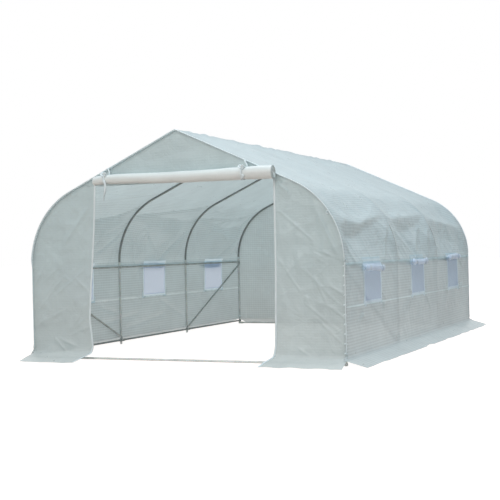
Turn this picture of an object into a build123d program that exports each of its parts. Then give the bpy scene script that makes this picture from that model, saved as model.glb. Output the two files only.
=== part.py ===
from build123d import *
from math import atan2, cos, degrees, hypot, radians, sin, tan
import os

# Driving sizes of the polytunnel, in millimetres and degrees
bay_length = 1500
bay_count = 3
hoop_span = 2970  # between the centrelines of a hoop's two legs
leg_height = 850  # straight part of a hoop, from the ground to the shoulder bend
bend_radius = 705  # shoulder bend, on the tube's centreline
roof_pitch = 24.5

# Steel tube of the hoops, and the thinner tube of the bars between them
hoop_tube = 22
hoop_wall = 1
bar_tube = 19
bar_wall = 0.8
spigot_length = 70  # narrowed tube end that slides into the next tube
swage_angle = 0.6  # part of the bend over which the tube narrows
core_length = 28  # arm of the ridge fitting, before its spigot begins
fit = 0.3  # gap round a spigot and between neighbours

# Pressed flat ends of the bars
flat_width = 27
flat_length = 34
flat_taper = 40
bolt_hole = 6.5

# Heights of the bars on the side walls
rail_drop = 50  # from the top of the legs to the side rail

# Woven cover, its seams and its loose skirt
sheet = 3
lip = 20  # cover past the end panels
lower_seam = 470
upper_seam = 870
skirt_top = 60
skirt_reach = 205

# Windows of the side walls, one in each bay
window_width = 470
window_sill = 20  # band below and above a window
net = 1
net_hem = 16
trim = 1.5
trim_width = 18
flap_roll = 70
flap_roll_length = 570
flap_roll_drop = 48  # from the window's top to the roll's axis

# Doorway in the front end, with its sheet rolled up above it
door_width = 1760
door_top = 1540
binding = 2
binding_width = 25
door_roll = 108
door_roll_gap = 10  # from the end of the rolled sheet to the doorway's side
door_roll_height = 1588
strap = 2
strap_width = 30
strap_spacing = 1290

# Places worked out from the sizes above
half_span = hoop_span / 2
end_hoop = bay_length * bay_count / 2
hoop_places = [bay_length * hoop - end_hoop for hoop in range(bay_count + 1)]
bay_middles = [place + bay_length / 2 for place in hoop_places[:bay_count]]
bend_angle = 90 - roof_pitch
bend_centre = half_span - bend_radius
hoop_bore = hoop_tube - 2 * hoop_wall
bar_bore = bar_tube - 2 * bar_wall
flat = 2 * bar_wall
cover_inside = hoop_tube / 2 + fit
end_face = end_hoop + flat_width / 2 + fit  # inner face of an end panel
end_front = end_face + sheet
cover_half = end_front + lip
wall_face = half_span + cover_inside + sheet  # outer face of a side wall
rail_height = leg_height - rail_drop
ground_bar_height = flat_width / 2 + fit
side_bar_height = ground_bar_height + flat_width + fit
brace_foot = side_bar_height + flat_width + fit
brace_head = rail_height - flat_width - fit


# The line that runs round the hoop at a distance outside the tube's centreline
def arch(outside):
    radius = bend_radius + outside
    bend_end = (
        bend_centre + radius * cos(radians(bend_angle)),
        leg_height + radius * sin(radians(bend_angle)),
    )
    apex = bend_end[1] + bend_end[0] * tan(radians(roof_pitch))
    return half_span + outside, radius, bend_end, apex


side, radius, bend_end, ridge = arch(0)


# Pair of straight legs, open at the foot and drilled through for the bars' bolts
def hoop_legs(place):
    at_end = abs(place) == end_hoop
    side_bolts = (side_bar_height, brace_head if at_end else brace_foot, rail_height)
    with BuildPart() as legs:
        with BuildSketch(Plane((half_span, place, 0))):
            Circle(hoop_tube / 2)
            Circle(hoop_bore / 2, mode=Mode.SUBTRACT)
        extrude(amount=leg_height)
        with BuildSketch(Plane.YZ.offset(half_span)):
            with Locations(*[(place, height) for height in side_bolts]):
                Circle(bolt_hole / 2)
        extrude(amount=hoop_tube, both=True, mode=Mode.SUBTRACT)
        if at_end:
            with BuildSketch(Plane.XZ.offset(-place)):
                with Locations((half_span, ground_bar_height)):
                    Circle(bolt_hole / 2)
            extrude(amount=hoop_tube, both=True, mode=Mode.SUBTRACT)
        mirror(about=Plane.YZ)
    return legs.part


# Pair of shoulder bends, with a narrowed spigot at each end
def hoop_shoulders(place):
    spigot = hoop_bore - 2 * fit
    foot = Plane((half_span, place, leg_height))
    up_roof = (-cos(radians(roof_pitch)), 0, sin(radians(roof_pitch)))
    head = Plane((bend_end[0], place, bend_end[1]), (0, 1, 0), up_roof)
    axis = Axis((bend_centre, place, leg_height), (0, -1, 0))
    with BuildPart() as shoulders:
        with BuildSketch(foot):
            Circle(hoop_tube / 2)
            Circle(hoop_bore / 2, mode=Mode.SUBTRACT)
        revolve(axis=axis, revolution_arc=bend_angle)
        for end, turn in ((foot, swage_angle), (head, -swage_angle)):
            with BuildSketch(end):
                Circle(hoop_tube / 2)
                Circle(spigot / 2 - hoop_wall, mode=Mode.SUBTRACT)
            revolve(axis=axis, revolution_arc=turn)
        for end, way in ((foot, -spigot_length), (head, spigot_length)):
            with BuildSketch(end):
                Circle(spigot / 2)
                Circle(spigot / 2 - hoop_wall, mode=Mode.SUBTRACT)
            extrude(amount=way)
        mirror(about=Plane.YZ)
    return shoulders.part


# Pair of straight rafters, from the shoulder bends to the ridge fitting
def hoop_rafters(place):
    way = (-cos(radians(roof_pitch)), 0, sin(radians(roof_pitch)))
    with BuildPart() as rafters:
        with BuildSketch(Plane((bend_end[0], place, bend_end[1]), (0, 1, 0), way)):
            Circle(hoop_tube / 2)
            Circle(hoop_bore / 2, mode=Mode.SUBTRACT)
        extrude(amount=bend_end[0] / cos(radians(roof_pitch)) - core_length)
        mirror(about=Plane.YZ)
    return rafters.part


# Ridge fitting with spigots into the rafters and into the ridge tubes beside it
def ridge_fitting(place):
    way = (cos(radians(roof_pitch)), 0, -sin(radians(roof_pitch)))
    apex = (0, place, ridge)
    with BuildPart() as fitting:
        with Locations(apex):
            Sphere(hoop_tube / 2)
        for width, reach in ((hoop_tube, core_length), (hoop_bore - 2 * fit, core_length + spigot_length)):
            with BuildSketch(Plane(apex, (0, 1, 0), way)):
                Circle(width / 2)
            extrude(amount=reach)
        mirror(about=Plane.YZ)
        for neighbour in (place - bay_length, place + bay_length):
            if abs(neighbour) > end_hoop:
                continue
            for width, reach in ((bar_tube, core_length), (bar_bore - 2 * fit, core_length + spigot_length)):
                with BuildSketch(Plane(apex, (1, 0, 0), (0, neighbour - place, 0))):
                    Circle(width / 2)
                extrude(amount=reach)
    return fitting.part


# Bar along Y, of thin tube with both ends pressed flat for a bolt
def flat_ended_bar(bolt_spacing):
    flat_start = bolt_spacing / 2 - flat_length
    tube_end = flat_start - flat_taper
    with BuildPart() as bar:
        with BuildSketch(Plane((0, 0, 0), (1, 0, 0), (0, 1, 0))):
            Circle(bar_tube / 2)
            Circle(bar_bore / 2, mode=Mode.SUBTRACT)
        extrude(amount=tube_end)
        with BuildSketch(Plane((0, tube_end, 0), (1, 0, 0), (0, 1, 0))):
            Circle(bar_tube / 2)
        with BuildSketch(Plane((0, flat_start, 0), (1, 0, 0), (0, 1, 0))):
            Rectangle(flat, flat_width)
        loft(ruled=True)
        with BuildSketch(Plane.YZ):
            with Locations((bolt_spacing / 2, 0)):
                Circle(flat_width / 2)
            with Locations((flat_start + flat_length / 2, 0)):
                Rectangle(flat_length, flat_width)
            with Locations((bolt_spacing / 2, 0)):
                Circle(bolt_hole / 2, mode=Mode.SUBTRACT)
        extrude(amount=flat / 2, both=True)
        mirror(about=Plane.XZ)
    return bar.part


# Section of a strip of the right half of the cover, cut off level at both edges
def cover_strip(inside, thickness, low, high):
    near_side, near_radius, near_bend, near_apex = arch(inside)
    far_side, far_radius, far_bend, far_apex = arch(inside + thickness)
    with BuildSketch(Plane.XZ) as strip:
        with BuildLine():
            Polyline(near_bend, (0, near_apex), (0, far_apex), far_bend)
            CenterArc((bend_centre, leg_height), far_radius, 0, bend_angle)
            Polyline((far_side, leg_height), (far_side, 0), (near_side, 0), (near_side, leg_height))
            CenterArc((bend_centre, leg_height), near_radius, 0, bend_angle)
        make_face()
        with Locations((far_side / 2, (low + high) / 2)):
            Rectangle(far_side, high - low, mode=Mode.INTERSECT)
    return strip.sketch


# Outline of a flat end panel under the arch, between two upright lines and two levels
def end_panel(depth, left, right, low, high):
    edge, edge_radius, edge_bend, edge_apex = arch(cover_inside - fit)
    with BuildSketch(Plane.XZ.offset(depth)) as panel:
        with BuildLine():
            Polyline(edge_bend, (0, edge_apex), (0, 0), (edge, 0), (edge, leg_height))
            CenterArc((bend_centre, leg_height), edge_radius, 0, bend_angle)
        make_face()
        mirror(about=Plane.YZ)
        with Locations(((left + right) / 2, (low + high) / 2)):
            Rectangle(right - left, high - low, mode=Mode.INTERSECT)
    return panel.sketch


# Section of the loose skirt, which slopes out from the wall's foot to the ground
def skirt_section(plane):
    with BuildSketch(plane) as section:
        with BuildLine():
            Polyline(
                (0, skirt_top),
                (sheet, skirt_top),
                (skirt_reach, sheet),
                (skirt_reach, 0),
                (0, skirt_top - sheet),
                close=True,
            )
        make_face()
    return section.sketch


pieces = {}

# Hoops
for name, place in zip(("front", "second", "third", "back"), hoop_places):
    pieces[name + "_hoop_legs"] = hoop_legs(place)
    pieces[name + "_hoop_shoulders"] = hoop_shoulders(place)
    pieces[name + "_hoop_rafters"] = hoop_rafters(place)

# Ridge
with BuildPart() as ridge_fittings:
    for place in hoop_places:
        add(ridge_fitting(place))
pieces["ridge_fittings"] = ridge_fittings.part

with BuildPart() as ridge_tubes:
    for place in hoop_places[:bay_count]:
        with BuildSketch(Plane((0, place + core_length, ridge), (1, 0, 0), (0, 1, 0))):
            Circle(bar_tube / 2)
            Circle(bar_bore / 2, mode=Mode.SUBTRACT)
        extrude(amount=bay_length - 2 * core_length)
pieces["ridge_tubes"] = ridge_tubes.part

# Bars of the side walls, bolted to the inner side of the legs, with the ends in every other bay lapped over
bolt_line = half_span - hoop_tube / 2 - fit - flat / 2
side_bar = flat_ended_bar(bay_length)
lapped = [bolt_line - bay % 2 * (flat + fit) for bay in range(bay_count)]

with BuildPart() as right_side_rails:
    with Locations(*[(x, y, rail_height) for x, y in zip(lapped, bay_middles)]):
        add(side_bar)
pieces["right_side_rails"] = right_side_rails.part

with BuildPart() as right_ground_bars:
    with Locations(*[(x, y, side_bar_height) for x, y in zip(lapped, bay_middles)]):
        add(side_bar)
pieces["right_ground_bars"] = right_ground_bars.part

# Diagonal braces of the end bays
brace_bar = flat_ended_bar(hypot(bay_length, brace_head - brace_foot))
brace_slope = degrees(atan2(brace_head - brace_foot, bay_length))

with BuildPart() as right_braces:
    brace_middle = (bolt_line, bay_middles[0], (brace_head + brace_foot) / 2)
    with Locations(Location(brace_middle, (-brace_slope, 0, 0))):
        add(brace_bar)
    mirror(about=Plane.XZ)
pieces["right_braces"] = right_braces.part

# Ground bars across the two ends
end_bar_place = end_hoop - hoop_tube / 2 - fit - flat / 2
end_bar = flat_ended_bar(hoop_span)

with BuildPart() as front_ground_bar:
    with Locations(Location((0, -end_bar_place, ground_bar_height), (0, 0, 90))):
        add(end_bar)
pieces["front_ground_bar"] = front_ground_bar.part

with BuildPart() as back_ground_bar:
    mirror(front_ground_bar.part, about=Plane.XZ)
pieces["back_ground_bar"] = back_ground_bar.part

# Cover over the hoops, in strips sewn together along the walls
cover_apex = arch(cover_inside + sheet)[3]

with BuildPart() as roof_cover:
    extrude(cover_strip(cover_inside, sheet, upper_seam, cover_apex), amount=cover_half, both=True)
    mirror(about=Plane.YZ)
pieces["roof_cover"] = roof_cover.part

window_low = lower_seam + window_sill
window_high = upper_seam - window_sill
window_middle = (window_low + window_high) / 2

with BuildPart() as right_window_band:
    extrude(cover_strip(cover_inside, sheet, lower_seam, upper_seam), amount=cover_half, both=True)
    with BuildSketch(Plane.YZ):
        with Locations(*[(y, window_middle) for y in bay_middles]):
            Rectangle(window_width, window_high - window_low)
    extrude(amount=hoop_span, mode=Mode.SUBTRACT)
pieces["right_window_band"] = right_window_band.part

with BuildPart() as right_lower_wall:
    extrude(cover_strip(cover_inside, sheet, skirt_top, lower_seam), amount=cover_half, both=True)
pieces["right_lower_wall"] = right_lower_wall.part

with BuildPart() as right_skirt:
    extrude(skirt_section(Plane.XZ.shift_origin((half_span + cover_inside, 0, 0))), amount=cover_half, both=True)
pieces["right_skirt"] = right_skirt.part

# Window nets sewn to the inside, tape round them outside, and the flaps rolled up above
with BuildPart() as window_net:
    extrude(
        cover_strip(cover_inside - net, net, window_low - net_hem, window_high + net_hem),
        amount=window_width / 2 + net_hem,
        both=True,
    )

with BuildPart() as right_window_nets:
    with Locations(*[(0, y, 0) for y in bay_middles]):
        add(window_net.part)
pieces["right_window_nets"] = right_window_nets.part

with BuildPart() as window_trim:
    extrude(
        cover_strip(cover_inside + sheet, trim, window_low - trim_width, window_high + trim_width),
        amount=window_width / 2 + trim_width,
        both=True,
    )
    with BuildSketch(Plane.YZ):
        with Locations((0, window_middle)):
            Rectangle(window_width, window_high - window_low)
    extrude(amount=hoop_span, mode=Mode.SUBTRACT)

with BuildPart() as right_window_trims:
    with Locations(*[(0, y, 0) for y in bay_middles]):
        add(window_trim.part)
pieces["right_window_trims"] = right_window_trims.part

flap_roll_out = wall_face + trim + fit + flap_roll / 2
flap_roll_height = window_high - flap_roll_drop

with BuildPart() as right_window_flaps:
    for place in bay_middles:
        with BuildSketch(Plane.XZ.offset(-place - flap_roll_length / 2)):
            with Locations((flap_roll_out, flap_roll_height)):
                Circle(flap_roll / 2)
        extrude(amount=flap_roll_length)
pieces["right_window_flaps"] = right_window_flaps.part

# Left side, the mirror image of the right
for name in [piece for piece in pieces if piece.startswith("right_")]:
    with BuildPart() as left_piece:
        mirror(pieces[name], about=Plane.YZ)
    pieces[name.replace("right_", "left_")] = left_piece.part

# End panels: beside the doorway, over it, and the closed back end
with BuildPart() as front_right_panel:
    extrude(end_panel(end_face, door_width / 2, half_span + cover_inside, skirt_top, cover_apex), amount=sheet)
pieces["front_right_panel"] = front_right_panel.part

with BuildPart() as front_left_panel:
    mirror(front_right_panel.part, about=Plane.YZ)
pieces["front_left_panel"] = front_left_panel.part

with BuildPart() as gable_panel:
    extrude(end_panel(end_face, -door_width / 2, door_width / 2, door_top, cover_apex), amount=sheet)
pieces["gable_panel"] = gable_panel.part

with BuildPart() as back_panel:
    extrude(end_panel(-end_face - sheet, -wall_face, wall_face, skirt_top, cover_apex), amount=sheet)
pieces["back_panel"] = back_panel.part

panel_edge = half_span + cover_inside - fit

with BuildPart() as front_skirts:
    extrude(
        skirt_section(Plane((panel_edge, -end_face, 0), (0, -1, 0), (-1, 0, 0))),
        amount=panel_edge - door_width / 2,
    )
    mirror(about=Plane.YZ)
pieces["front_skirts"] = front_skirts.part

with BuildPart() as back_skirt:
    extrude(skirt_section(Plane((-panel_edge, end_face, 0), (0, 1, 0), (1, 0, 0))), amount=2 * panel_edge)
pieces["back_skirt"] = back_skirt.part

# Bound edges of the doorway, the rolled door sheet and the straps that hold it up
with BuildPart() as door_bindings:
    extrude(
        end_panel(end_front, door_width / 2, door_width / 2 + binding_width, skirt_top, cover_apex),
        amount=binding,
    )
    mirror(about=Plane.YZ)
pieces["door_bindings"] = door_bindings.part

door_roll_out = cover_half + fit + door_roll / 2
door_roll_length = door_width - 2 * door_roll_gap

with BuildPart() as rolled_door:
    with BuildSketch(Plane.YZ.offset(-door_roll_length / 2)):
        with Locations((-door_roll_out, door_roll_height)):
            Circle(door_roll / 2)
    extrude(amount=door_roll_length)
pieces["rolled_door"] = rolled_door.part

strap_inside = door_roll / 2 + fit

with BuildPart() as door_straps:
    with BuildSketch(Plane.YZ.offset(strap_spacing / 2)):
        with Locations((-door_roll_out, door_roll_height)):
            Circle(strap_inside + strap)
        with Locations((-(door_roll_out + end_front) / 2, door_roll_height + strap_inside + strap / 2)):
            Rectangle(door_roll_out - end_front, strap)
        with Locations((-door_roll_out, door_roll_height)):
            Circle(strap_inside, mode=Mode.SUBTRACT)
    extrude(amount=strap_width / 2, both=True)
    mirror(about=Plane.YZ)
pieces["door_straps"] = door_straps.part

# Labels and files
os.makedirs("parts", exist_ok=True)
for name, piece in pieces.items():
    piece.label = name
    export_step(piece, "parts/" + name + ".step")
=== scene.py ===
import math
from functools import partial
import bpy
import numpy as np
from mathutils import Matrix, Vector
from mathutils.geometry import delaunay_2d_cdt


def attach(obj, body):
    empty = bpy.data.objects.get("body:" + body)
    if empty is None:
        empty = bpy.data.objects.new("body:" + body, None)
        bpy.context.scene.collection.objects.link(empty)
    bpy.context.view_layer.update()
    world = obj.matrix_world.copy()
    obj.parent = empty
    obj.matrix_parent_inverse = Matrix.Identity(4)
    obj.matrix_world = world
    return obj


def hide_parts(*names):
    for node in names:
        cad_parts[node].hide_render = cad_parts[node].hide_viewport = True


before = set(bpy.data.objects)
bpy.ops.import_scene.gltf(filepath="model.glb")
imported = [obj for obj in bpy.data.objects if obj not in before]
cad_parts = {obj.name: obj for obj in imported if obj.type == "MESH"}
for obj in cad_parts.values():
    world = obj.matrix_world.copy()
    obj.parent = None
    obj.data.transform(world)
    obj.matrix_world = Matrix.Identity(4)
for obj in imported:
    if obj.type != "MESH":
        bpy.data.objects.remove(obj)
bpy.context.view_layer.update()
print("frame loaded,", len(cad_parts), "nodes")

# the tunnel as it is built, in metres
tunnel = dict(halfSpan=1.485, legHeight=0.85, bendRadius=0.705, pitch=math.radians(24.5),
              bay=1.5, bays=3, tube=0.022, endSheet=2.2653, lip=2.2868, railHeight=0.80)
tunnel["bendAngle"] = math.pi / 2 - tunnel["pitch"]
tunnel["bendCentre"] = tunnel["halfSpan"] - tunnel["bendRadius"]
hoopLines = [tunnel["bay"] * (i - tunnel["bays"] / 2) for i in range(tunnel["bays"] + 1)]
bayMiddles = [y + tunnel["bay"] / 2 for y in hoopLines[:-1]]


# small tools
def hexColor(code):
    parts = [int(code[i:i + 2], 16) / 255 for i in (1, 3, 5)]
    return tuple(c / 12.92 if c <= 0.04045 else ((c + 0.055) / 1.055) ** 2.4 for c in parts) + (1.0,)


# what is itself a node, or a socket of one, is linked, and all else is set
def addNode(tree, kind, settings={}):
    node = tree.nodes.new("ShaderNode" + kind)
    for name, value in settings.items():
        if isinstance(value, bpy.types.Node):
            value = value.outputs[0]
        if isinstance(value, bpy.types.NodeSocket):
            tree.links.new(value, node.inputs[name])
        elif isinstance(name, int) or name in node.inputs.keys():
            node.inputs[name].default_value = value
        else:
            setattr(node, name, value)
    return node


def newMaterial(name):
    material = bpy.data.materials.new(name)
    material.use_nodes = True
    material.node_tree.nodes.clear()
    return material, partial(addNode, material.node_tree)


def makePiece(name, verts, faces, material, uvs=None, smooth=True, nodes=(), slotName=None):
    mesh = bpy.data.meshes.new(name)
    mesh.from_pydata(np.asarray(verts, float).reshape(-1, 3).tolist(), [], faces)
    mesh.polygons.foreach_set("use_smooth", [smooth] * len(mesh.polygons))
    if uvs is not None:
        layer = mesh.uv_layers.new(name="flat")
        loops = np.zeros(len(mesh.loops), np.int32)
        mesh.loops.foreach_get("vertex_index", loops)
        layer.data.foreach_set("uv", np.asarray(uvs, float).reshape(-1, 2)[loops].ravel())
    mesh.validate()
    mesh.materials.append(material)
    piece = bpy.data.objects.new(name, mesh)
    bpy.context.scene.collection.objects.link(piece)
    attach(piece, "root")
    if nodes:
        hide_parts(*nodes)
    return piece


def unit(v):
    return v / np.maximum(np.linalg.norm(v, axis=-1, keepdims=True), 1e-9)


# from nothing to all, as the value goes from 0 to 1
def fade(v):
    return np.clip(v, 0, 1)


# a smooth bump about zero
def bell(v, width, power=2):
    return np.exp(-(v / width) ** power)


# where points lie beside a line from a to b: the share along it, and the distance off it
def besideLine(u, v, a, b):
    way = np.subtract(b, a)
    size = np.linalg.norm(way)
    along = ((u - a[0]) * way[0] + (v - a[1]) * way[1]) / size ** 2
    return along, np.abs((u - a[0]) * way[1] - (v - a[1]) * way[0]) / size


# ways out from the middle of a tube, all round
def roundWays(count, first, second):
    turn = np.linspace(0, 2 * math.pi, count + 1)[:-1]
    return np.outer(np.cos(turn), first) + np.outer(np.sin(turn), second)


def areaUnder(y, x):
    return float(np.sum((y[1:] + y[:-1]) / 2 * np.diff(x)))


def gridNormals(p):
    return unit(np.cross(np.gradient(p, axis=0), np.gradient(p, axis=1)))


def gridFaces(nu, nv, keep=None):
    i, j = np.meshgrid(np.arange(nu - 1), np.arange(nv - 1), indexing="ij")
    if keep is not None:
        i, j = i[keep], j[keep]
    a = (i * nv + j).ravel()
    return np.stack([a, a + nv, a + nv + 1, a + 1], 1).tolist()


def gridPiece(name, p, uv, material, keep=None, **more):
    faces = np.array(gridFaces(p.shape[0], p.shape[1], keep))
    used, faces = np.unique(faces, return_inverse=True)
    return makePiece(name, p.reshape(-1, 3)[used], faces.reshape(-1, 4).tolist(), material,
                     uv.reshape(-1, 2)[used], **more)


# lumps of a given size on a grid, spread evenly about zero
def ripples(y, s, waveY, waveS, seed):
    rng = np.random.default_rng(seed)
    waves = 18
    total = np.zeros(np.broadcast(y, s).shape)
    for k in range(waves):
        turn = rng.uniform(0, 2 * math.pi)
        size = rng.uniform(0.7, 1.6)
        total += np.sin(2 * math.pi * (y * math.cos(turn) / waveY + s * math.sin(turn) / waveS) * size + rng.uniform(0, 7))
    return total / math.sqrt(waves / 2)


# cloth that can't stretch or shrink settles between the places where it is held
def settleCloth(start, free, slack, passes, bend, limit, pull=0.0):
    flat, p = start.astype(np.float32), start.astype(np.float32)
    nu, nv = p.shape[:2]
    w = free.astype(np.float32)[..., None]
    slack = np.broadcast_to(np.asarray(slack, np.float32), (nu, nv))[..., None]
    threads, bias = 1.0, 0.4
    pairs = []
    for k in (0, 1):
        pairs += [(np.s_[k:nu - 1:2, :], np.s_[k + 1:nu:2, :], threads),
                  (np.s_[:, k:nv - 1:2], np.s_[:, k + 1:nv:2], threads),
                  (np.s_[k:nu - 1:2, :nv - 1], np.s_[k + 1:nu:2, 1:], bias),
                  (np.s_[k:nu - 1:2, 1:], np.s_[k + 1:nu:2, :nv - 1], bias)]
    links = []
    for a, b, stiff in pairs:
        rest = np.linalg.norm(flat[b] - flat[a], axis=-1, keepdims=True) * (1 + slack[a])
        links.append((a, b, rest, (stiff / np.maximum(w[a] + w[b], 1e-6)).astype(np.float32)))
    curveU = flat[2:] + flat[:-2] - 2 * flat[1:-1]
    curveV = flat[:, 2:] + flat[:, :-2] - 2 * flat[:, 1:-1]
    for step in range(passes):
        p[..., 2] -= pull * min(1, 2.5 - 2.5 * step / passes) * w[..., 0]
        for a, b, rest, share in links:
            gap = p[b] - p[a]
            size = np.sqrt(np.einsum("...i,...i", gap, gap))[..., None] + 1e-9
            gap *= (size - rest) / size * share
            p[a] += w[a] * gap
            p[b] -= w[b] * gap
        p[1:-1] += bend * 0.5 * w[1:-1] * (p[2:] + p[:-2] - 2 * p[1:-1] - curveU)
        p[:, 1:-1] += bend * 0.5 * w[:, 1:-1] * (p[:, 2:] + p[:, :-2] - 2 * p[:, 1:-1] - curveV)
        limit(p)
    return p.astype(float)


# a flat band of tape with a real thickness, laid along a line
def addBand(store, path, side, up, width, thick, closed=False):
    path, side, up = (np.asarray(v, float) for v in (path, side, up))
    side, up = np.broadcast_to(side, path.shape), np.broadcast_to(up, path.shape)
    w = np.broadcast_to(np.asarray(width, float), path.shape[:1])[:, None] / 2
    ring = np.stack([path - side * w, path + side * w, path + side * w + up * thick, path - side * w + up * thick], 1)
    addLoops(store, ring, closed)


def addLoops(store, rings, closed=False):
    n, m = rings.shape[:2]
    base = sum(len(v) for v in store["verts"])
    store["verts"].append(rings.reshape(-1, 3))
    for i in range(n if closed else n - 1):
        a, b = base + i * m, base + (i + 1) % n * m
        for j in range(m):
            store["faces"].append((a + j, a + (j + 1) % m, b + (j + 1) % m, b + j))
    if not closed:
        store["faces"].append(tuple(base + j for j in reversed(range(m))))
        store["faces"].append(tuple(base + (n - 1) * m + j for j in range(m)))


# cloth tape as thin as the sheet it is sewn to
def addStrip(store, path, side, width, closed=False):
    path = np.asarray(path, float)
    half = np.broadcast_to(np.asarray(width, float), path.shape[:1])[:, None]
    reach = np.broadcast_to(np.asarray(side, float), path.shape) * half / 2
    base, n = sum(len(v) for v in store["verts"]), len(path)
    store["verts"].append(np.stack([path - reach, path + reach], 1).reshape(-1, 3))
    for i in range(n if closed else n - 1):
        a, b = base + 2 * i, base + 2 * ((i + 1) % n)
        store["faces"].append((a, a + 1, b + 1, b))


# a round cord or pipe along a line
def addPipe(store, path, radius, sides=8):
    path = np.asarray(path, float)
    way = unit(np.gradient(path, axis=0))
    ref = np.tile([0.0, 0.0, 1.0], (len(path), 1))
    ref[np.abs(way[:, 2]) > 0.9] = (1, 0, 0)
    a = unit(np.cross(way, ref))
    for i in range(1, len(path)):
        flat = a[i - 1] - way[i] * (a[i - 1] @ way[i])
        a[i] = flat / np.linalg.norm(flat)
    b = np.cross(way, a)
    turn = np.arange(sides) * 2 * math.pi / sides
    out = np.cos(turn)[None, :, None] * a[:, None] + np.sin(turn)[None, :, None] * b[:, None]
    addLoops(store, path[:, None] + radius * out)


def standAt(xWay, yWay, zWay, place):
    return Matrix([[xWay[i], yWay[i], zWay[i], place[i]] for i in range(3)] + [[0, 0, 0, 1]])


def newStore():
    return {"verts": [], "faces": []}


def storePiece(name, store, material, **more):
    return makePiece(name, np.concatenate(store["verts"]), store["faces"], material, **more)


# the arch line, measured down from the ridge
flare = dict(height=0.06, reach=0.205, radius=0.03, ground=0.003)
flare["turn"] = math.pi / 2 - math.atan2(flare["height"], flare["reach"])
flare["start"] = flare["height"] + flare["radius"] * math.tan(flare["turn"] / 2)
flare["slope"] = math.hypot(flare["height"], flare["reach"])
flare["length"] = flare["radius"] * flare["turn"] + flare["slope"] - flare["start"] + flare["height"]


# down and out from where a wall's foot starts to turn: reach, height and lean
def footLine(d):
    r, full = flare["radius"], flare["turn"]
    turn = np.clip(d / r, 0, full)
    on = np.clip(d - r * full, 0, None)
    out = r * (1 - np.cos(turn)) + on * math.sin(full)
    z = flare["start"] - r * np.sin(turn) - on * math.cos(full)
    return out, np.maximum(z, flare["ground"]), turn


def archLine(s, outside):
    t = tunnel
    s = np.asarray(s, float)
    r = t["bendRadius"] + outside
    rafter = (t["bendCentre"] + r * math.cos(t["bendAngle"])) / math.cos(t["pitch"])
    apex = t["legHeight"] + r * math.sin(t["bendAngle"]) + rafter * math.sin(t["pitch"])
    arc = r * t["bendAngle"]
    wall = t["legHeight"] - flare["start"]
    turn = t["bendAngle"] - np.clip(s - rafter, 0, arc) / r
    out, footZ, foot = footLine(np.clip(s - rafter - arc - wall, 0, None))
    bend = s > rafter
    x = np.where(bend, t["bendCentre"] + r * np.cos(turn), np.minimum(s, rafter) * math.cos(t["pitch"])) + out
    z = np.where(bend, t["legHeight"] + r * np.sin(turn), apex - np.minimum(s, rafter) * math.sin(t["pitch"]))
    z = z - np.clip(s - rafter - arc, 0, wall)
    z = np.where(s > rafter + arc + wall, footZ, z)
    lean = np.where(bend, turn, t["bendAngle"]) + foot
    return x, z, np.cos(lean), np.sin(lean), dict(rafter=rafter, arc=arc, wall=wall)


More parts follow.
